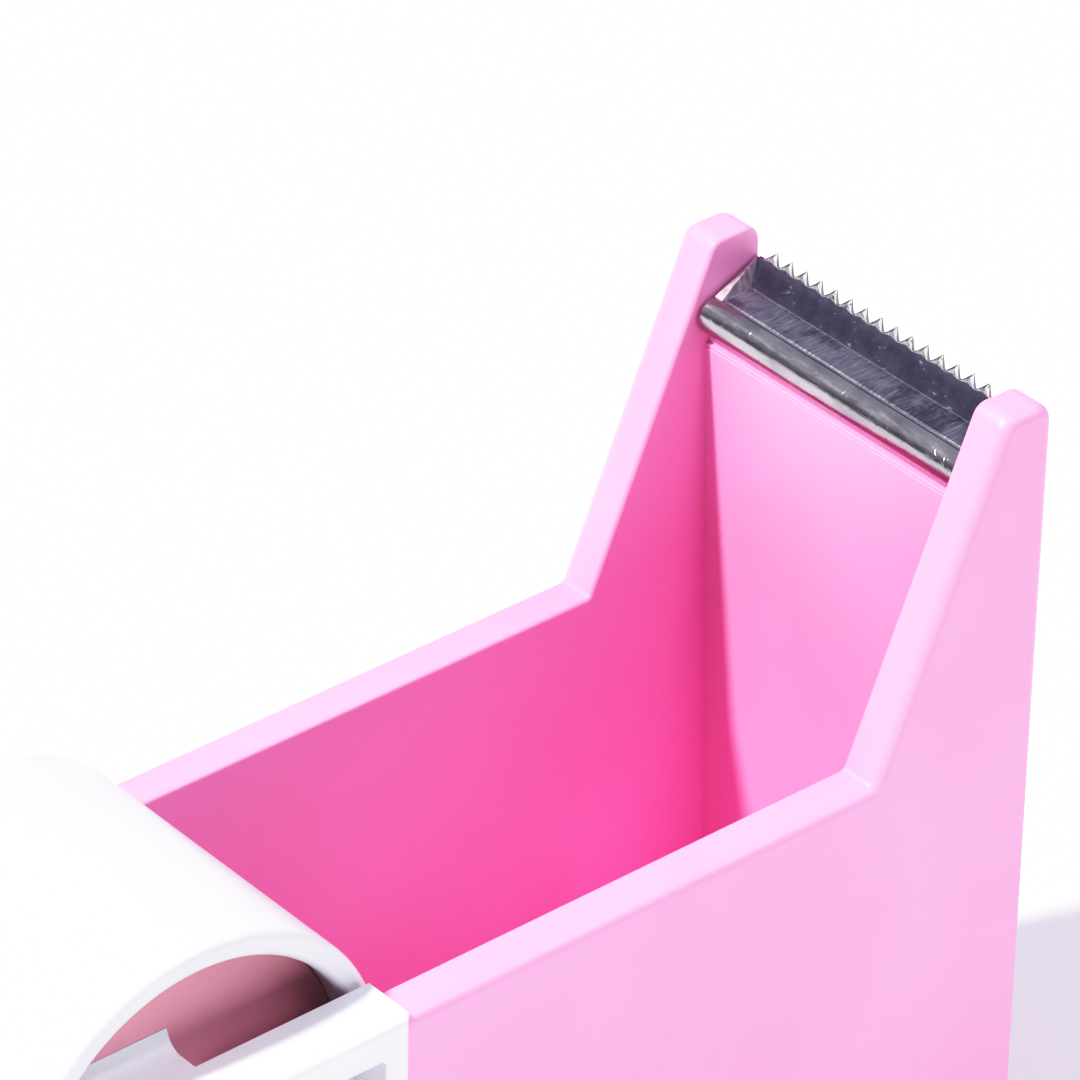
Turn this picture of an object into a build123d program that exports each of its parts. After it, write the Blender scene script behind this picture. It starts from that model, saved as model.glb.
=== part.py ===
from build123d import *
import math
import os

# Desktop tape dispenser for small-core rolls. Millimetres, +Z up, +X towards the blade.
# Origin: centre of the footprint, on the surface that the feet stand on.

# ---- driving dimensions: casing ----
rim_z = 36.0                # top of the low side rims
tower_rise = 21.0           # towers stand this far above the rims
slope_deg = 67.0            # steep edge from rim to tower top
front_x = 42.0              # front face
kink_x = front_x - 12.45    # where the rim turns up into the slope
blade_overhang = 0.445      # the teeth stand this far in front of the front face
rear_x = -(front_x + blade_overhang)
rear_round = 18.0           # large radius at the top rear corner
body_z = 0.8                # underside of the casing, above the table
inner_width = 22.0
wall = 2.8
body_width = inner_width + 2 * wall
edge_round = 0.7            # soft moulded edge outside, along both side walls
inner_edge_round = 0.3      # tighter edge on the well's side of the rims
seam_round = 0.08           # edges on both sides of the blade holder's seam
kink_round = 0.4            # nearly sharp turn between rim and slope

# ---- driving dimensions: spool ----
axis_x = kink_x - 45.7
axis_z = rim_z - 4.3
sleeve_r = 12.5             # fits the bore of a 25.4 mm tape core
sleeve_bore_r = 10.9
sleeve_length = 21.4
running_gap = 0.05          # between the bearing discs and the sleeve's bore

# ---- tape well ----
well_r = axis_x - rear_x - wall       # rear of the well follows the roll
well_floor_z = axis_z - well_r
floor_thickness = 1.6
panel_top_x = kink_x + 8.4            # inner face of the front wall, at its top
panel_top_z = rim_z + 14.15           # seam between the front wall and the blade holder
panel_lean_deg = 1.8                  # mould draft of the inner face
lip_height = 0.25                     # low lip of the holder above the seam
lip_step = 0.25                       # the holder's face stands back behind the lip
well_corner_r = 4.0

# ---- blade ----
sheet = 0.45
table_z = rim_z + 17.5                # top of the flat table
nose_r = 1.2                          # rolled rear edge, outside radius
nose_x = kink_x + 8.8
valley_x = kink_x + 11.05             # table ends and the toothed strip turns up
strip_deg = 58.0
strip_length = 1.77                   # valley to tooth roots, along the strip
tooth_deg = 42.0                      # the teeth lean forward from the strip
tooth_height = 0.81
tooth_count = 16
tooth_pitch = 1.286
blade_width = 21.5

# ---- lugs of the spindle ----
lug_half = 11.3                       # half length along X
lug_top_z = rim_z + 0.95
lug_height = 2 * (lug_top_z - axis_z) # so a roll's core passes over the lug
lug_proud = 0.9                       # beyond the casing's side
lug_side_rim = 1.8
lug_top_rim = 2.2
lug_recess = 2.7
notch_gap = 0.15
web_width = 7.0                       # the web lies on the rear side of the core
web_rear = 7.6                        # its rear edge, behind the spool's axis
web_rise = 1.2                        # concave rise of the web in front of the disc
core_half_height = 5.0                # web between the discs, above and below the axis
disc_outer_y = 8.6
disc_thickness = 1.5
core_r = 3.2
peg_r = 1.5
peg_length = 5.0

# ---- base ----
plate_thickness = 1.6
plate_gap = 0.1
foot_r = 3.5
foot_thickness = 1.6
foot_x = 26.0
foot_y = 6.2
screw_x = 35.2
screw_y = 7.4
screw_r = 1.25
screw_length = 5.4
head_r = 2.3
boss_r = 2.7
ballast_half = 31.6
ballast_height = 3.6
pad_thickness = 0.55

half_inner = inner_width / 2
half_body = body_width / 2
tower_z = rim_z + tower_rise
slope_x = kink_x + tower_rise / math.tan(math.radians(slope_deg))
plate_top_z = body_z + plate_thickness
chamber_top_z = well_floor_z - floor_thickness
panel_tan = math.tan(math.radians(panel_lean_deg))
panel_foot_x = panel_top_x + (panel_top_z - well_floor_z) * panel_tan
chamber_front_x = panel_foot_x
chamber_rear_x = rear_x + wall
lug_outer_y = half_body + lug_proud
sides = (("left", 1), ("right", -1))


def slab(points, radii, y0, y1):
    """Solid between the planes y0 and y1 whose XZ outline has the given corner radii."""
    corners = [Vector(x, 0, z) for x, z in points]
    outline = []
    for i, corner in enumerate(corners):
        before = (corners[i - 1] - corner).normalized()
        after = (corners[(i + 1) % len(corners)] - corner).normalized()
        turn = math.radians(before.get_angle(after))
        reach = radii[i] / math.tan(turn / 2) if radii[i] else 0
        outline.append((corner, corner + before * reach, corner + after * reach, before + after))
    edges = []
    for i, (corner, arrive, leave, inward) in enumerate(outline):
        if radii[i]:
            half = (arrive - corner).length
            centre_distance = math.hypot(half, radii[i])
            middle = corner + inward.normalized() * (centre_distance - radii[i])
            edges.append(ThreePointArc(arrive, middle, leave))
        start = outline[(i + 1) % len(outline)][1]
        if (start - leave).length > 1e-6:
            edges.append(Line(leave, start))
    face = make_face(edges)
    return Pos(0, y0, 0) * extrude(face, amount=y1 - y0, dir=(0, 1, 0))


def block(x0, x1, y0, y1, z0, z1):
    """Rectangular solid between two corners."""
    return Pos((x0 + x1) / 2, (y0 + y1) / 2, (z0 + z1) / 2) * Box(x1 - x0, y1 - y0, z1 - z0)


def upright(radius, x, y, z0, z1):
    """Vertical cylinder."""
    return Pos(x, y, (z0 + z1) / 2) * Cylinder(radius, z1 - z0)


def crosswise(radius, y0, y1, x=axis_x, z=axis_z):
    """Cylinder along Y, on the spool's axis unless told otherwise."""
    return Pos(x, (y0 + y1) / 2, z) * Rot(90, 0, 0) * Cylinder(radius, y1 - y0)


def corners_of(x, y):
    """The four symmetric places of a foot or a screw."""
    return [(sx * x, sy * y) for sx in (-1, 1) for sy in (-1, 1)]


def fillet_crosswise_edge(solid, x, z, radius):
    """Rounds the edge that runs along Y through the given place in the XZ plane."""
    near = [e for e in solid.edges().filter_by(Axis.Y)
            if math.hypot(e.center().X - x, e.center().Z - z) < 0.1]
    return fillet(near, radius)


def make_body_shell():
    outline = [(rear_x, body_z), (rear_x, rim_z), (kink_x, rim_z), (slope_x, tower_z),
               (front_x, tower_z), (front_x, body_z)]
    corner_radii = [2.0, rear_round, kink_round, 1.0, 1.2, 1.5]
    top = tower_z + 5

    # front wall, rear wall and floor, reaching a little way into the side walls
    overlap = inner_edge_round + 0.05
    panel_head_x = panel_top_x - (top - panel_top_z) * panel_tan
    shell = slab(outline, corner_radii, -half_inner - overlap, half_inner + overlap)
    shell -= slab(
        [(panel_foot_x, well_floor_z), (panel_head_x, top), (chamber_rear_x, top),
         (chamber_rear_x, well_floor_z)],
        [well_corner_r, 0, 0, well_r - 0.01], -half_body, half_body)
    # seat of the blade holder, open at the top and at the front
    shell -= block(panel_top_x - 1, front_x + 5, -half_body, half_body, panel_top_z, top)
    shell = fillet_crosswise_edge(shell, panel_top_x, panel_top_z, seam_round)
    groove_x = (panel_top_x + front_x) / 2
    shell -= block(groove_x - 0.75, groove_x + 0.75, -8, 8, panel_top_z - 3.1, panel_top_z + 1)

    # side walls with their low rims and towers
    flank = slab(outline, corner_radii, half_inner, half_body)
    faces = flank.faces().filter_by(Axis.Y).sort_by(Axis.Y)
    flank = fillet(faces[-1].edges(), edge_round)
    inner_face = flank.faces().filter_by(Axis.Y).sort_by(Axis.Y)[0]
    flank = fillet(inner_face.edges(), inner_edge_round)
    shell += flank
    shell += mirror(flank, Plane.XZ)

    # notches that hold the spindle's lugs
    reach = lug_half + notch_gap
    lug_bottom = lug_top_z - lug_height
    shell -= block(axis_x - reach, axis_x + reach, -half_body - 1, half_body + 1,
                   lug_bottom, rim_z + 5)

    # ballast chamber below the floor, with screw bosses
    shell -= block(chamber_rear_x, chamber_front_x, -half_inner, half_inner,
                   body_z - 1, chamber_top_z)
    for x, y in corners_of(screw_x, screw_y):
        shell += upright(boss_r, x, y, plate_top_z, chamber_top_z + 0.5)
        shell -= upright(screw_r - 0.02, x, y, body_z, body_z + screw_length + 0.5)
    return shell


def turned(deg):
    """Unit vector in the XZ plane, the given angle up from +X."""
    return Vector(math.cos(math.radians(deg)), 0, math.sin(math.radians(deg)))


def below(corner, deg_before, deg_after):
    """Corner of the sheet's underside below a fold between two directions."""
    half_turn = math.radians(deg_after - deg_before) / 2
    return corner - turned((deg_before + deg_after) / 2 + 90) * (sheet / math.cos(half_turn))


def make_blade_holder():
    """Pink insert on top of the front wall: the blade's rolled edge hooks on its tongue."""
    lip_x = panel_top_x + 0.02
    back_x = lip_x + lip_step
    lip_top = panel_top_z + lip_height
    hem_bottom = table_z - 2 * nose_r
    tongue_low = hem_bottom + sheet + 0.04
    tongue_high = table_z - sheet - 0.03
    slot_x = nose_x + 1.9
    fold = below(Vector(valley_x, 0, table_z), 0, strip_deg)
    slope_start = fold.X + 0.05
    slope_high = tongue_high + (front_x - slope_start) * math.tan(math.radians(strip_deg))
    outline = [(lip_x, panel_top_z), (front_x, panel_top_z), (front_x, slope_high),
               (slope_start, tongue_high), (nose_x, tongue_high), (nose_x, tongue_low),
               (slot_x, tongue_low), (slot_x, hem_bottom - 0.04), (back_x, hem_bottom - 0.04),
               (back_x, lip_top), (lip_x, lip_top)]
    half = half_inner - 0.04
    holder = slab(outline, [0] * len(outline), -half, half)
    holder = fillet_crosswise_edge(holder, lip_x, panel_top_z, seam_round)
    holder = fillet_crosswise_edge(holder, lip_x, lip_top, seam_round)
    key_x = (panel_top_x + front_x) / 2
    holder += block(key_x - 0.7, key_x + 0.7, -7.95, 7.95, panel_top_z - 3.0, panel_top_z + 0.2)
    return holder


def make_blade():
    """Stainless strip: rolled rear edge, flat table, up-turned strip and upright saw teeth."""
    half = blade_width / 2
    hem_end_x = nose_x + 1.8
    nose_z = table_z - nose_r
    inner_r = nose_r - sheet
    valley = Vector(valley_x, 0, table_z)
    root = valley + turned(strip_deg) * strip_length
    tip = root + turned(tooth_deg) * tooth_height
    table_start = Vector(nose_x, 0, table_z)
    corners = [table_start, valley, root, tip, below(tip, tooth_deg, tooth_deg),
               below(root, strip_deg, tooth_deg), below(valley, 0, strip_deg),
               Vector(nose_x, 0, nose_z + inner_r)]
    edges = [Line(start, end) for start, end in zip(corners, corners[1:])]
    hem = [Vector(nose_x, 0, nose_z - inner_r), Vector(hem_end_x, 0, nose_z - inner_r),
           Vector(hem_end_x, 0, nose_z - nose_r), Vector(nose_x, 0, nose_z - nose_r)]
    edges += [Line(start, end) for start, end in zip(hem, hem[1:])]
    edges.append(ThreePointArc(corners[-1], (nose_x - inner_r, 0, nose_z), hem[0]))
    edges.append(ThreePointArc(hem[-1], (nose_x - nose_r, 0, nose_z), table_start))
    blade = Pos(0, -half, 0) * extrude(make_face(edges), amount=blade_width, dir=(0, 1, 0))

    # saw teeth: a V between each pair of tips, and one outside each end tip
    teeth = Plane(origin=tip, x_dir=(0, 1, 0), z_dir=turned(tooth_deg - 90))
    side = tooth_pitch / 2 - 0.02
    for i in range(tooth_count + 1):
        y = (i - tooth_count / 2) * tooth_pitch
        notch = make_face(Polyline((y - side, 0.3), (y - side, 0), (y, -tooth_height),
                                   (y + side, 0), (y + side, 0.3), close=True))
        blade -= extrude(teeth * notch, amount=1.2, both=True)

    # folded ends that close the valley between the table and the toothed strip
    seat = table_z - 0.02
    for sign in (-1, 1):
        y0, y1 = sorted((sign * half, sign * (half - sheet)))
        blade += slab([(nose_x, seat), (valley_x + 0.1, seat), (root.X, root.Z)],
                      [0, 0, 0], y0, y1)
    return blade


def make_sleeve():
    """Plain white tube that carries the roll's core and turns with it."""
    half = sleeve_length / 2
    tube = crosswise(sleeve_r, -half, half) - crosswise(sleeve_bore_r, -half - 1, half + 1)
    rims = tube.edges().filter_by(GeomType.CIRCLE)
    return fillet(rims, 0.5)


def make_web():
    """Broad web from the mid-plane out to the lug, with a concave rise in front of the disc."""
    top = lug_top_z - axis_z
    y_in = disc_outer_y
    y_out = half_inner + 0.2
    y_step = y_in - disc_thickness - 0.5
    knee = web_rise * (1 - math.sqrt(0.5))
    x = axis_x - web_rear
    outline = [(0, -core_half_height), (y_step, -core_half_height), (y_step, -top),
               (y_out, -top), (y_out, top), (y_in + web_rise, top), (y_in, top + web_rise),
               (y_step, top + web_rise), (y_step, core_half_height), (0, core_half_height)]
    arc_start = 5
    corners = [Vector(x, y, axis_z + z) for y, z in outline]
    edges = []
    for i, start in enumerate(corners):
        end = corners[(i + 1) % len(corners)]
        if i == arc_start:
            middle = Vector(x, y_in + knee, axis_z + top + knee)
            edges.append(ThreePointArc(start, middle, end))
        else:
            edges.append(Line(start, end))
    return extrude(make_face(edges), amount=web_width, dir=(1, 0, 0))


def make_spindle_half(sign):
    """Lug, web and half of the core. The left half has the peg, the right half the socket."""
    bottom = lug_top_z - lug_height
    x0, x1 = axis_x - lug_half, axis_x + lug_half
    lug = block(x0, x1, half_inner, lug_outer_y, bottom, lug_top_z)
    lug = fillet(lug.edges().group_by(Axis.Y)[-1], 0.5)
    pocket = block(x0 + lug_side_rim, x1 - lug_side_rim, lug_outer_y - lug_recess,
                   lug_outer_y + 1, bottom + lug_top_rim, lug_top_z - lug_top_rim)
    lug -= fillet(pocket.edges().filter_by(Axis.Y), 0.4)
    half = lug + make_web() + crosswise(core_r, 0, half_inner + 0.1)
    if sign > 0:
        half += crosswise(peg_r, -peg_length, 1)
        return half
    half = mirror(half, Plane.XZ)
    return half - crosswise(peg_r + 0.03, -peg_length - 0.3, 1)


def make_bearing_disc(sign):
    """Rose bearing disc, pushed onto the web, that the sleeve turns on."""
    disc = crosswise(sleeve_bore_r - running_gap, disc_outer_y - disc_thickness, disc_outer_y)
    slot_x0, slot_x1 = axis_x - web_rear - 0.03, axis_x - web_rear + web_width + 0.03
    slot_bottom = lug_top_z - lug_height - 0.05
    slot_top = lug_top_z + web_rise + 0.05
    disc -= block(slot_x0, slot_x1, 0, half_inner, slot_bottom, slot_top)
    disc -= crosswise(core_r + 0.03, 0, half_inner)
    return disc if sign > 0 else mirror(disc, Plane.XZ)


def make_base_plate():
    plate = block(chamber_rear_x + plate_gap, chamber_front_x - plate_gap,
                  -half_inner + plate_gap, half_inner - plate_gap, body_z, plate_top_z)
    for x, y in corners_of(foot_x, foot_y):
        plate -= upright(foot_r + 0.05, x, y, body_z - 1, foot_thickness)
    for x, y in corners_of(screw_x, screw_y):
        plate -= upright(screw_r + 0.15, x, y, 0, plate_top_z + 1)
        plate -= upright(head_r + 0.15, x, y, 0, body_z + 1.0)
    return plate


def make_base_screws():
    screws = []
    for x, y in corners_of(screw_x, screw_y):
        head = upright(head_r, x, y, body_z + 0.1, body_z + 1.0)
        slot = block(x - 1.4, x + 1.4, y - 0.25, y + 0.25, body_z - 1, body_z + 0.6)
        cross = block(x - 0.25, x + 0.25, y - 1.4, y + 1.4, body_z - 1, body_z + 0.6)
        shank = upright(screw_r - 0.03, x, y, body_z + 0.9, body_z + screw_length)
        screws.append(head - slot - cross + shank)
    return Compound(children=screws)


def make_ballast(sign):
    """One of two steel bars that keep the light casing from lifting when tape is pulled."""
    x0, x1 = sorted((sign * 0.3, sign * ballast_half))
    bar = block(x0, x1, -half_inner + 0.4, half_inner - 0.4, plate_top_z,
                plate_top_z + ballast_height)
    return fillet(bar.edges().filter_by(Axis.Z), 1.0)


def make_ballast_pad():
    """Foam strip pressed between the ballast and the well floor, so nothing rattles."""
    z0 = plate_top_z + ballast_height
    return block(-ballast_half, ballast_half, -8, 8, z0, z0 + pad_thickness)


def make_foot(x, y):
    foot = upright(foot_r, x, y, 0, foot_thickness)
    return fillet(foot.edges().group_by(Axis.Z)[0], 0.35)


parts = {
    "body_shell": make_body_shell(),
    "blade_holder": make_blade_holder(),
    "blade": make_blade(),
    "spool_sleeve": make_sleeve(),
    "base_plate": make_base_plate(),
    "base_screws": make_base_screws(),
    "ballast_front": make_ballast(1),
    "ballast_rear": make_ballast(-1),
    "ballast_pad": make_ballast_pad(),
}
for side, sign in sides:
    parts[f"spindle_{side}"] = make_spindle_half(sign)
    parts[f"bearing_disc_{side}"] = make_bearing_disc(sign)
    for end, direction in (("front", 1), ("rear", -1)):
        parts[f"foot_{end}_{side}"] = make_foot(direction * foot_x, sign * foot_y)

os.makedirs("parts", exist_ok=True)
for name, part in parts.items():
    export_step(part, f"parts/{name}.step")
    print(name, round(part.volume, 1))
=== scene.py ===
import math

import bmesh
import bpy
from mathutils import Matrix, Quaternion, Vector


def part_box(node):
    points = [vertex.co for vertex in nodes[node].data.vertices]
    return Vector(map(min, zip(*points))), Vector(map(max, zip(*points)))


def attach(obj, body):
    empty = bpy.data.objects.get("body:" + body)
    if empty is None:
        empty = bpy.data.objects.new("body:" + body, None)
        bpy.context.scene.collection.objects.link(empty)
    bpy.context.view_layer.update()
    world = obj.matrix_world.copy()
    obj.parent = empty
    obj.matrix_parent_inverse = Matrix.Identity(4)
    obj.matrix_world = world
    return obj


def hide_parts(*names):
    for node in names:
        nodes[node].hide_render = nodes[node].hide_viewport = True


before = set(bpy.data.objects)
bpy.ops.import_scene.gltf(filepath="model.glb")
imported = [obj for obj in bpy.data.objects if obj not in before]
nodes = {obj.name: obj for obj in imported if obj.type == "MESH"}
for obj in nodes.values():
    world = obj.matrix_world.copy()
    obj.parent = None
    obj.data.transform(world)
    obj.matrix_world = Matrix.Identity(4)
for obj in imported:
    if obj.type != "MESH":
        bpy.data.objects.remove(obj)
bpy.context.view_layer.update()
MM = 0.001

shell_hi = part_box("body_shell")[1]
blade_lo, blade_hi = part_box("blade")


# ---------------------------------------------------------------- material helpers
class Shader:
    """A small builder for one node material."""

    def __init__(self, name):
        self.material = bpy.data.materials.new(name)
        self.material.use_nodes = True
        self.tree = self.material.node_tree
        self.bsdf = self.tree.nodes["Principled BSDF"]
        self.coords = self.tree.nodes.new("ShaderNodeTexCoord")

    def node(self, kind, **values):
        made = self.tree.nodes.new(kind)
        for key, value in values.items():
            setattr(made, key, value)
        return made

    def link(self, source, target):
        self.tree.links.new(source, target)

    def set(self, **values):
        """Sets sockets of the principled shader; underscores stand for spaces."""
        for key, value in values.items():
            self.bsdf.inputs[key.replace("_", " ")].default_value = value

    def place(self, scale):
        """Object coordinates, stretched by a scale for each axis."""
        mapping = self.node("ShaderNodeMapping")
        mapping.inputs["Scale"].default_value = scale
        self.link(self.coords.outputs["Object"], mapping.inputs["Vector"])
        return mapping.outputs["Vector"]

    def noise(self, scale, detail=3.0, roughness=0.5, stretch=(1, 1, 1), distortion=0.0):
        made = self.node("ShaderNodeTexNoise")
        made.inputs["Scale"].default_value = scale
        made.inputs["Detail"].default_value = detail
        made.inputs["Roughness"].default_value = roughness
        made.inputs["Distortion"].default_value = distortion
        self.link(self.place(stretch), made.inputs["Vector"])
        return made.outputs["Fac"]

    def ramp(self, value, low, high, out_low, out_high):
        """A smooth step from out_low to out_high while the value goes from low to high."""
        made = self.node("ShaderNodeMapRange", interpolation_type="SMOOTHSTEP")
        made.inputs["From Min"].default_value = low
        made.inputs["From Max"].default_value = high
        made.inputs["To Min"].default_value = out_low
        made.inputs["To Max"].default_value = out_high
        self.link(value, made.inputs["Value"])
        return made.outputs["Result"]

    def feed(self, value, target):
        """Links an output to the target socket, or sets the socket to a plain value."""
        if isinstance(value, bpy.types.NodeSocket):
            self.link(value, target)
        else:
            target.default_value = value

    def mix(self, factor, first, second):
        """Colour mix; a mix node's colour sockets come after those for numbers and vectors."""
        made = self.node("ShaderNodeMix", data_type="RGBA")
        for index, value in ((0, factor), (6, first), (7, second)):
            self.feed(value, made.inputs[index])
        return made.outputs[2]

    def math(self, operation, first, second):
        made = self.node("ShaderNodeMath", operation=operation)
        self.feed(first, made.inputs[0])
        self.feed(second, made.inputs[1])
        return made.outputs[0]

    def edge_wear(self, low=0.52, high=0.60):
        """0 on flat faces, 1 on outer edges."""
        geometry = self.node("ShaderNodeNewGeometry")
        return self.ramp(geometry.outputs["Pointiness"], low, high, 0.0, 1.0)

    def bump(self, height, strength, distance, below=None):
        made = self.node("ShaderNodeBump")
        made.inputs["Strength"].default_value = strength
        made.inputs["Distance"].default_value = distance
        self.link(height, made.inputs["Height"])
        if below is not None:
            self.link(below, made.inputs["Normal"])
        return made.outputs["Normal"]

    def colour(self, socket):
        self.link(socket, self.bsdf.inputs["Base Color"])

    def roughness(self, socket):
        self.link(socket, self.bsdf.inputs["Roughness"])

    def normal(self, socket):
        self.link(socket, self.bsdf.inputs["Normal"])


def shade(colour, factor):
    """The colour made lighter or darker by a factor."""
    return tuple(min(1.0, c * factor) for c in colour) + (1.0,)


# ---------------------------------------------------------------- materials
def moulded_plastic(name, colour, base_roughness, grain=0.35):
    """Satin injection-moulded plastic: faint flow mottling, fine spark grain, soft scuffs."""
    s = Shader(name)
    s.set(IOR=1.52)
    mottling = s.noise(55.0, detail=4.0, roughness=0.55, distortion=0.4)
    blotches = s.ramp(mottling, 0.35, 0.65, 0.0, 1.0)
    tinted = s.mix(blotches, shade(colour, 0.965), shade(colour, 1.03))
    worn = s.mix(s.math("MULTIPLY", s.edge_wear(), 0.35), tinted, shade(colour, 1.12))
    s.colour(worn)
    smears = s.noise(130.0, detail=5.0, roughness=0.6, stretch=(1, 1, 0.45))
    scuffs = s.noise(900.0, detail=2.0, roughness=0.5, stretch=(0.12, 1, 1))
    rough = s.ramp(smears, 0.3, 0.7, base_roughness - 0.05, base_roughness + 0.06)
    rough = s.math("ADD", rough, s.ramp(scuffs, 0.62, 0.75, 0.0, 0.07))
    s.roughness(rough)
    spark = s.noise(5200.0, detail=2.0, roughness=0.6)
    waves = s.noise(70.0, detail=1.0)
    soft = s.bump(waves, 0.12, 0.0006)
    s.normal(s.bump(spark, grain, 0.00002, below=soft))
    return s.material


def polished_steel(name):
    """Rolled nose: satin bright, with drawing lines along the roll and a few nicks."""
    s = Shader(name)
    s.set(Metallic=1.0)
    stains = s.noise(600.0, detail=4.0, roughness=0.6, stretch=(1, 0.5, 1))
    stained = s.ramp(stains, 0.35, 0.7, 0.0, 1.0)
    s.colour(s.mix(stained, (0.44, 0.41, 0.43, 1), (0.31, 0.29, 0.325, 1)))
    hairs = s.noise(5200.0, detail=3.0, roughness=0.6, stretch=(1, 0.14, 1))
    s.roughness(s.ramp(hairs, 0.3, 0.7, 0.17, 0.27))
    nicks = s.noise(1500.0, detail=2.0, distortion=1.0)
    patches = s.noise(350.0, detail=3.0, roughness=0.6)
    uneven = s.math("MULTIPLY", hairs, s.ramp(patches, 0.35, 0.65, 0.35, 1.0))
    rolled = s.bump(uneven, 0.6, 0.00003)
    s.normal(s.bump(s.ramp(nicks, 0.64, 0.70, 0.0, 1.0), 0.3, 0.00003, below=rolled))
    return s.material


def brushed_table(name):
    """Flat table: short cross-wise grinding scratches in denser and barer patches."""
    s = Shader(name)
    s.set(Metallic=1.0)
    lines = s.noise(11000.0, detail=3.0, roughness=0.65, stretch=(0.07, 1, 0.07), distortion=0.15)
    slanted = s.noise(7500.0, detail=2.0, roughness=0.6, stretch=(0.12, 1, 0.12), distortion=0.9)
    patches = s.noise(420.0, detail=4.0, roughness=0.6, distortion=0.6)
    density = s.ramp(patches, 0.36, 0.62, 0.15, 1.0)
    tone = s.mix(density, (0.15, 0.145, 0.19, 1), (0.34, 0.325, 0.39, 1))
    bright = s.math("MULTIPLY", s.ramp(lines, 0.47, 0.60, 0.0, 1.0), density)
    scored = s.mix(bright, tone, (0.42, 0.40, 0.46, 1))
    s.colour(s.mix(s.ramp(slanted, 0.60, 0.68, 0.0, 0.6), scored, (0.55, 0.53, 0.60, 1)))
    s.roughness(s.ramp(lines, 0.3, 0.7, 0.32, 0.52))
    s.normal(s.bump(slanted, 0.35, 0.00002, below=s.bump(lines, 0.5, 0.00002)))
    return s.material


def strip_painted_dark(name):
    """Up-turned strip: even and dull, its very dark base colour a painted dark reflection of the
    surroundings, with a few fine scratches.
    """
    s = Shader(name)
    s.set(Metallic=1.0)
    cloud = s.noise(900.0, detail=5.0, roughness=0.7)
    cloudy = s.ramp(cloud, 0.35, 0.7, 0.0, 1.0)
    # painted dark reflection: a base colour far darker than steel stands in for the dark
    # surroundings the strip reflects
    tone = s.mix(cloudy, (0.078, 0.076, 0.110, 1), (0.092, 0.089, 0.126, 1))
    scratches = s.noise(3800.0, detail=2.0, roughness=0.6, stretch=(0.5, 0.2, 0.5), distortion=2.2)
    scratched = s.ramp(scratches, 0.62, 0.70, 0.0, 1.0)
    marks = s.math("MULTIPLY", scratched, s.ramp(cloud, 0.45, 0.62, 0.0, 0.7))
    s.colour(s.mix(marks, tone, (0.34, 0.32, 0.40, 1)))
    s.roughness(s.ramp(cloud, 0.3, 0.7, 0.46, 0.54))
    s.normal(s.bump(scratches, 0.12, 0.00002))
    return s.material


def folded_end(name):
    """Sheared and folded ends of the strip: dull, streaked steel, its pinkish tint a painted
    reflection of the pink walls.
    """
    s = Shader(name)
    s.set(Metallic=1.0)
    sheared = s.noise(2600.0, detail=4.0, roughness=0.65, stretch=(1, 1, 0.25))
    streaks = s.ramp(sheared, 0.35, 0.65, 0.0, 1.0)
    # pinkish tint: painted reflection of the pink walls on the steel
    s.colour(s.mix(streaks, (0.44, 0.36, 0.42, 1), (0.62, 0.52, 0.59, 1)))
    s.roughness(s.ramp(sheared, 0.3, 0.7, 0.55, 0.72))
    s.normal(s.bump(sheared, 0.25, 0.00002))
    return s.material


def ground_teeth(name):
    """Freshly ground facets of the teeth, with dark burrs."""
    s = Shader(name)
    s.set(Metallic=1.0)
    fine = s.noise(6000.0, detail=4.0, roughness=0.7, stretch=(1, 1, 0.3))
    burrs = s.noise(3000.0, detail=3.0, roughness=0.6)
    tone = s.mix(s.ramp(fine, 0.35, 0.65, 0.0, 1.0), (0.20, 0.195, 0.21, 1), (0.34, 0.33, 0.35, 1))
    s.colour(s.mix(s.ramp(burrs, 0.60, 0.68, 0.0, 0.8), tone, (0.04, 0.04, 0.045, 1)))
    s.roughness(s.ramp(fine, 0.3, 0.7, 0.38, 0.55))
    s.normal(s.bump(fine, 0.4, 0.00002))
    return s.material


def plated_screw(name):
    """Zinc-plated screws with fine turning marks."""
    s = Shader(name)
    s.set(Metallic=1.0)
    turned = s.noise(2500.0, detail=3.0, stretch=(1, 1, 0.1))
    s.colour(s.mix(turned, (0.52, 0.52, 0.55, 1), (0.74, 0.73, 0.72, 1)))
    s.roughness(s.ramp(turned, 0.3, 0.7, 0.28, 0.42))
    s.normal(s.bump(turned, 0.2, 0.00002))
    return s.material


def rolled_iron(name):
    """Ballast bars with mill scale and oil."""
    s = Shader(name)
    s.set(Metallic=0.85)
    scale = s.noise(260.0, detail=6.0, roughness=0.65)
    flaked = s.ramp(scale, 0.35, 0.65, 0.0, 1.0)
    s.colour(s.mix(flaked, (0.09, 0.085, 0.085, 1), (0.24, 0.22, 0.21, 1)))
    s.roughness(s.ramp(scale, 0.3, 0.7, 0.45, 0.7))
    s.normal(s.bump(scale, 0.4, 0.0001))
    return s.material


def foam(name):
    """Dark closed-cell foam."""
    s = Shader(name)
    cells = s.node("ShaderNodeTexVoronoi")
    cells.inputs["Scale"].default_value = 2600.0
    s.link(s.coords.outputs["Object"], cells.inputs["Vector"])
    depth = cells.outputs["Distance"]
    s.colour(s.mix(depth, (0.04, 0.04, 0.045, 1), (0.13, 0.13, 0.14, 1)))
    s.roughness(s.ramp(depth, 0.0, 0.8, 0.8, 0.95))
    s.normal(s.bump(depth, 0.8, 0.0002))
    return s.material


def soft_rubber(name):
    """Pale matt rubber with a little dust."""
    s = Shader(name)
    dust = s.noise(900.0, detail=5.0, roughness=0.6)
    dusty = s.ramp(dust, 0.4, 0.75, 0.0, 1.0)
    s.colour(s.mix(dusty, (0.70, 0.70, 0.73, 1), (0.80, 0.79, 0.79, 1)))
    s.roughness(s.ramp(dust, 0.3, 0.7, 0.62, 0.8))
    s.normal(s.bump(s.noise(3800.0, detail=2.0), 0.3, 0.00004))
    return s.material


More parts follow.
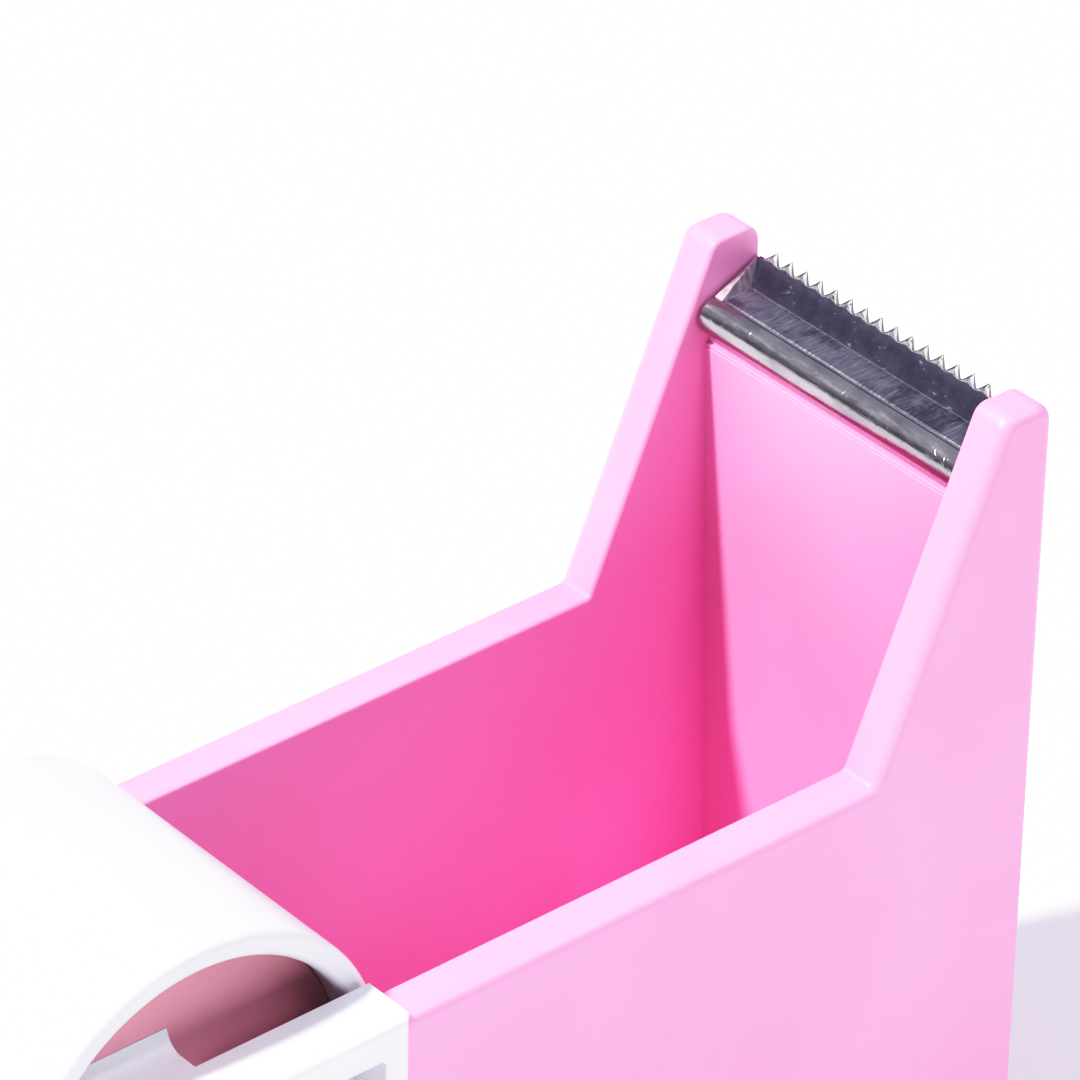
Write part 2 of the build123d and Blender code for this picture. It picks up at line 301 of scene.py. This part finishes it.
def paper_floor(name):
    """Matt white backdrop paper."""
    s = Shader(name)
    wash = s.noise(9.0, detail=3.0)
    s.colour(s.mix(wash, (0.90, 0.90, 0.92, 1), (0.93, 0.93, 0.94, 1)))
    s.roughness(s.ramp(wash, 0.3, 0.7, 0.85, 0.92))
    return s.material


PINK = (0.96, 0.385, 0.655)
ROSE = (0.77, 0.36, 0.43)
WHITE = (0.80, 0.79, 0.83)

plastic_pink = moulded_plastic("casing_pink", PINK, 0.36)
plastic_holder = moulded_plastic("holder_pink", PINK, 0.40)
plastic_white = moulded_plastic("spool_white", WHITE, 0.38)
plastic_rose = moulded_plastic("disc_rose", ROSE, 0.48)
plastic_base = moulded_plastic("base_pink", PINK, 0.55, grain=0.8)
node_material = {
    "body_shell": plastic_pink,
    "blade_holder": plastic_holder,
    "spool_sleeve": plastic_white,
    "spindle_left": plastic_white,
    "spindle_right": plastic_white,
    "bearing_disc_left": plastic_rose,
    "bearing_disc_right": plastic_rose,
    "base_plate": plastic_base,
    "base_screws": plated_screw("screw_steel"),
    "ballast_front": rolled_iron("ballast_front_iron"),
    "ballast_rear": rolled_iron("ballast_rear_iron"),
    "ballast_pad": foam("pad_foam"),
}
rubber = soft_rubber("foot_rubber")
for node_name, node in nodes.items():
    if node_name == "blade":
        continue
    material = node_material.get(node_name, rubber)
    node.data.materials.clear()
    node.data.materials.append(material)


# ---------------------------------------------------------------- the blade
SHEET = 0.45 * MM
NOSE_R = 1.2 * MM
TABLE_LENGTH = 2.25 * MM         # nose centre to the valley
GROOVE_DEPTH = 0.10 * MM         # crease between the rolled nose and the table
# (mm past the top of the nose, share of the groove's depth)
GROOVE_PROFILE = ((-0.03, 0.45), (0.05, 1.0), (0.14, 0.55), (0.22, 0.05))
STRIP_LENGTH = 1.77 * MM
STRIP_ANGLE = math.radians(58)
TOOTH_ANGLE = math.radians(42)
TOOTH_HEIGHT = 0.81 * MM
TOOTH_PITCH = 1.286 * MM
TOOTH_COUNT = 16
TOOTH_STEPS = 12                 # mesh columns per tooth
TOOTH_FLARE = 1.25               # above 1, the flanks are slightly hollow
GULLET = 0.03                    # height left between the teeth, as a share of a tooth
TIP_THINNING = 0.85              # share of the sheet's thickness ground away at the tips
RIDGE = 0.07 * MM                # the ground facets meet in a low ridge on each tooth
HEM_LENGTH = 1.8 * MM
VALLEY_R = 0.12 * MM
END_MARGIN = 0.15 * MM           # plain edge at both ends of the strip
EAR_SHEET = 0.1 * MM            # thickness of the folded ends at the top
EAR_LEAN = 0.55 * MM             # their inner faces lean outwards by this much
SHARP_ANGLE = math.radians(20)
NOSE_STEPS = 30
NOSE_START = 270                 # degrees; the roll runs from its underside
NOSE_SWEEP = 172                 # degrees, round the rear and over the top
BEND_STEPS = 6
# the up-turned strip's slot is painted dark, standing in for its dark reflection
POLISHED, BRUSHED, PAINTED_DARK, GROUND, ENDS = range(5)


def direction(angle):
    return Vector((math.cos(angle), 0, math.sin(angle)))


def blade_section():
    """Rows of (upper point, outward normal, material) from the hem's end to the tooth roots."""
    nose = Vector((blade_lo.x + NOSE_R, 0, blade_lo.z + NOSE_R))
    up = Vector((0, 0, 1))
    rows = [(nose + Vector((HEM_LENGTH, 0, -NOSE_R)), -up, POLISHED)]
    for i in range(NOSE_STEPS + 1):
        angle = math.radians(NOSE_START - NOSE_SWEEP * i / NOSE_STEPS)
        rows.append((nose + direction(angle) * NOSE_R, direction(angle), POLISHED))
    top = nose + up * NOSE_R
    for x, depth in GROOVE_PROFILE:
        point = top + Vector((x * MM, 0, -depth * GROOVE_DEPTH))
        rows.append((point, up, BRUSHED if x > 0.2 else POLISHED))
    valley = top + Vector((TABLE_LENGTH, 0, 0))
    centre = valley + Vector((-VALLEY_R * math.tan(STRIP_ANGLE / 2), 0, VALLEY_R))
    for i in range(BEND_STEPS + 1):
        normal = direction(STRIP_ANGLE * i / BEND_STEPS + math.pi / 2)
        rows.append((centre - normal * VALLEY_R, normal, BRUSHED if 2 * i <= BEND_STEPS else PAINTED_DARK))
    root = valley + direction(STRIP_ANGLE) * STRIP_LENGTH
    for part in (0.35, 0.7, 1.0):
        rows.append((valley.lerp(root, part), direction(STRIP_ANGLE + math.pi / 2), PAINTED_DARK))
    return rows, root


def make_blade():
    """One steel strip with rolled nose, brushed table, up-turned strip with a painted dark
    reflection, ground teeth, folded ends with a painted pink reflection.
    """
    rows, root = blade_section()
    half = (blade_hi.y - blade_lo.y) / 2
    saw_half = TOOTH_COUNT * TOOTH_PITCH / 2
    saw_stations = TOOTH_COUNT * TOOTH_STEPS
    stations = [-half, -half + END_MARGIN]
    stations += [-saw_half + i * TOOTH_PITCH / TOOTH_STEPS for i in range(saw_stations + 1)]
    stations += [half - END_MARGIN, half]

    bm = bmesh.new()
    upper, lower = [], []
    for point, normal, index in rows:
        upper.append(([bm.verts.new(point + Vector((0, y, 0))) for y in stations], index))
        inner = point - normal * SHEET
        lower.append([bm.verts.new(inner + Vector((0, y, 0))) for y in stations])

    tooth_dir = direction(TOOTH_ANGLE)
    tooth_out = direction(TOOTH_ANGLE - math.pi / 2)
    heights = []
    for y in stations:
        phase = ((y + saw_half) / TOOTH_PITCH) % 1.0
        inside = abs(y) < saw_half - 0.001 * MM
        flank = (1 - abs(2 * phase - 1)) ** TOOTH_FLARE
        heights.append(max(GULLET, flank) if inside else GULLET)
    for share, ridge, index in ((0.16, 0.2, PAINTED_DARK), (0.5, 1.0, GROUND), (1.0, 0.0, GROUND)):
        row = []
        for y, height in zip(stations, heights):
            rise = tooth_dir * (TOOTH_HEIGHT * height * share)
            rise -= tooth_out * (RIDGE * ridge * height)
            row.append(bm.verts.new(root + rise + Vector((0, y, 0))))
        upper.append((row, index))
    far_edge = []
    for y, height in zip(stations, heights):
        tip = root + tooth_dir * (TOOTH_HEIGHT * height)
        tip += tooth_out * (SHEET * (1 - TIP_THINNING * height))
        far_edge.append(bm.verts.new(tip + Vector((0, y, 0))))

    def quads(first, second, index):
        for a, b, c, d in zip(first, first[1:], second[1:], second):
            bm.faces.new((a, b, c, d)).material_index = index

    for (first, _), (second, index) in zip(upper, upper[1:]):
        quads(first, second, index)
    for first, second, (_, index) in zip(lower, lower[1:], upper[1:]):
        quads(second, first, index)
    quads(upper[-1][0], far_edge, GROUND)
    quads(far_edge, lower[-1], PAINTED_DARK)
    quads(lower[0], upper[0][0], POLISHED)
    for column in (0, -1):
        for i in range(len(lower) - 1):
            bm.faces.new([upper[i][0][column], upper[i + 1][0][column],
                          lower[i + 1][column], lower[i][column]])
        bm.faces.new([row[column] for row, _ in upper[len(lower) - 1:]]
                     + [far_edge[column], lower[-1][column]])

    # folded ends: thin triangular webs that close the valley
    top = rows[NOSE_STEPS + 1][0].z - 0.03 * MM
    nose_x = blade_lo.x + NOSE_R
    outline = [Vector((nose_x, 0, top)), Vector((nose_x + TABLE_LENGTH + 0.1 * MM, 0, top)),
               Vector((root.x, 0, root.z)), Vector((root.x - 0.25 * MM, 0, root.z - 0.08 * MM)),
               Vector((nose_x + 0.5 * TABLE_LENGTH, 0, top + 0.62 * MM)),
               Vector((nose_x + 0.1 * MM, 0, top + 0.08 * MM))]
    for sign in (-1, 1):
        outer, inner = [], []
        for p in outline:
            lean = EAR_LEAN * (root.z - p.z) / (root.z - top)
            outer.append(bm.verts.new(p + Vector((0, sign * half, 0))))
            inner.append(bm.verts.new(p + Vector((0, sign * (half - EAR_SHEET - lean), 0))))
        faces = [bm.faces.new(outer), bm.faces.new(inner[::-1])]
        for i in range(len(outline)):
            j = (i + 1) % len(outline)
            faces.append(bm.faces.new([outer[j], outer[i], inner[i], inner[j]]))
        for face in faces:
            face.material_index = ENDS
    bmesh.ops.recalc_face_normals(bm, faces=bm.faces)
    mesh = bpy.data.meshes.new("serrated_blade")
    bm.to_mesh(mesh)
    bm.free()
    piece = bpy.data.objects.new("serrated_blade", mesh)
    bpy.context.scene.collection.objects.link(piece)
    for material in (polished_steel("blade_polished"), brushed_table("blade_brushed"),
                     strip_painted_dark("blade_painted_dark"), ground_teeth("blade_ground"),
                     folded_end("blade_ends_pink_reflection")):
        mesh.materials.append(material)
    for polygon in mesh.polygons:
        polygon.use_smooth = True
    mesh.set_sharp_from_angle(angle=SHARP_ANGLE)
    return piece


blade = make_blade()
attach(blade, "casing")
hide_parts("blade")


# ---------------------------------------------------------------- floor and light
FLOOR_SIZE = 3.0
SKY_COLOUR = (0.84, 0.88, 1.0, 1)
SKY_STRENGTH = (0.25, 0.95)                # near the horizon, overhead
KEY_COLOUR = (1.0, 0.95, 0.90)
KEY_TRAVEL = (1.0, -0.30, -1.27)           # from behind the spool, on the left
FILL_COLOUR = (0.92, 0.94, 1.0)
FILL_TRAVEL = (-0.45, 0.5, -0.74)          # from in front of the blade, on the right


def make_floor():
    bpy.ops.mesh.primitive_plane_add(size=FLOOR_SIZE, location=(0, 0, 0))
    floor = bpy.context.object
    floor.name = "floor"
    floor.data.materials.append(paper_floor("floor_paper"))


def make_sun(name, strength, softness_deg, colour, travel):
    data = bpy.data.lights.new(name, "SUN")
    data.energy = strength
    data.angle = math.radians(softness_deg)
    data.color = colour
    light = bpy.data.objects.new(name, data)
    light.rotation_mode = "QUATERNION"
    light.rotation_quaternion = Vector(travel).to_track_quat("-Z", "Y")
    bpy.context.scene.collection.objects.link(light)


def make_sky():
    """Pale blue sky, stronger from above and from the left side than near the horizon."""
    world = bpy.data.worlds.new("sky")
    world.use_nodes = True
    tree = world.node_tree
    background = tree.nodes["Background"]
    coords = tree.nodes.new("ShaderNodeTexCoord")
    facing = tree.nodes.new("ShaderNodeVectorMath")
    facing.operation = "DOT_PRODUCT"
    facing.inputs[1].default_value = Vector((0.0, 0.15, 1.0)).normalized()
    strength = tree.nodes.new("ShaderNodeMapRange")
    strength.interpolation_type = "SMOOTHSTEP"
    strength.inputs["From Min"].default_value = 0.05
    strength.inputs["From Max"].default_value = 0.9
    strength.inputs["To Min"].default_value = SKY_STRENGTH[0]
    strength.inputs["To Max"].default_value = SKY_STRENGTH[1]
    tree.links.new(coords.outputs["Generated"], facing.inputs[0])
    tree.links.new(facing.outputs["Value"], strength.inputs["Value"])
    tree.links.new(strength.outputs["Result"], background.inputs["Strength"])
    background.inputs["Color"].default_value = SKY_COLOUR
    bpy.context.scene.world = world


make_floor()
make_sun("key", 5.3, 5.0, KEY_COLOUR, KEY_TRAVEL)
make_sun("fill", 1.5, 45.0, FILL_COLOUR, FILL_TRAVEL)
make_sky()


# ---------------------------------------------------------------- camera
CAMERA_LENS = 251.5
CAMERA_DISTANCE = 0.4338
CAMERA_AZIMUTH = math.radians(-40.69)
CAMERA_ELEVATION = math.radians(33.40)
CAMERA_ROLL = math.radians(1.15)
CAMERA_AIM = Vector((shell_hi.x - 17.38 * MM, 9.84 * MM, shell_hi.z - 14.25 * MM))


def make_camera():
    """Close view from behind and above the spool, towards the blade."""
    data = bpy.data.cameras.new("camera")
    data.lens = CAMERA_LENS
    data.sensor_width = 36.0
    data.clip_start = 0.01
    data.clip_end = 20.0
    camera = bpy.data.objects.new("camera", data)
    level_reach = math.cos(CAMERA_ELEVATION)
    back = Vector((math.sin(CAMERA_AZIMUTH) * level_reach,
                   -math.cos(CAMERA_AZIMUTH) * level_reach, math.sin(CAMERA_ELEVATION)))
    camera.location = CAMERA_AIM + back * CAMERA_DISTANCE
    camera.rotation_mode = "QUATERNION"
    level = (-back).to_track_quat("-Z", "Y")
    camera.rotation_quaternion = level @ Quaternion((0, 0, 1), CAMERA_ROLL)
    bpy.context.scene.collection.objects.link(camera)
    bpy.context.scene.camera = camera


make_camera()


WHITE_LEVEL = 1.8                # scene brightness that is shown as paper white
TOE = 1.5                        # above 1, shadows are deeper
SHOULDER = 3.0                   # above 1, highlights roll off sooner
TONE_STEPS = 16


def tone(level):
    """Shown brightness, 0 to 1, of a scene brightness given as a share of WHITE_LEVEL."""
    return 1 - (1 - level ** TOE) ** SHOULDER


def set_print_look():
    """Contrast of a bright studio print: deep toe, soft shoulder, paper white at WHITE_LEVEL."""
    view = bpy.context.scene.view_settings
    view.view_transform = "Standard"
    view.use_curve_mapping = True
    mapping = view.curve_mapping
    mapping.white_level = (WHITE_LEVEL,) * 3
    curve = mapping.curves[3]
    for step in range(1, TONE_STEPS):
        level = step / TONE_STEPS
        curve.points.new(level, tone(level))
    mapping.update()


set_print_look()
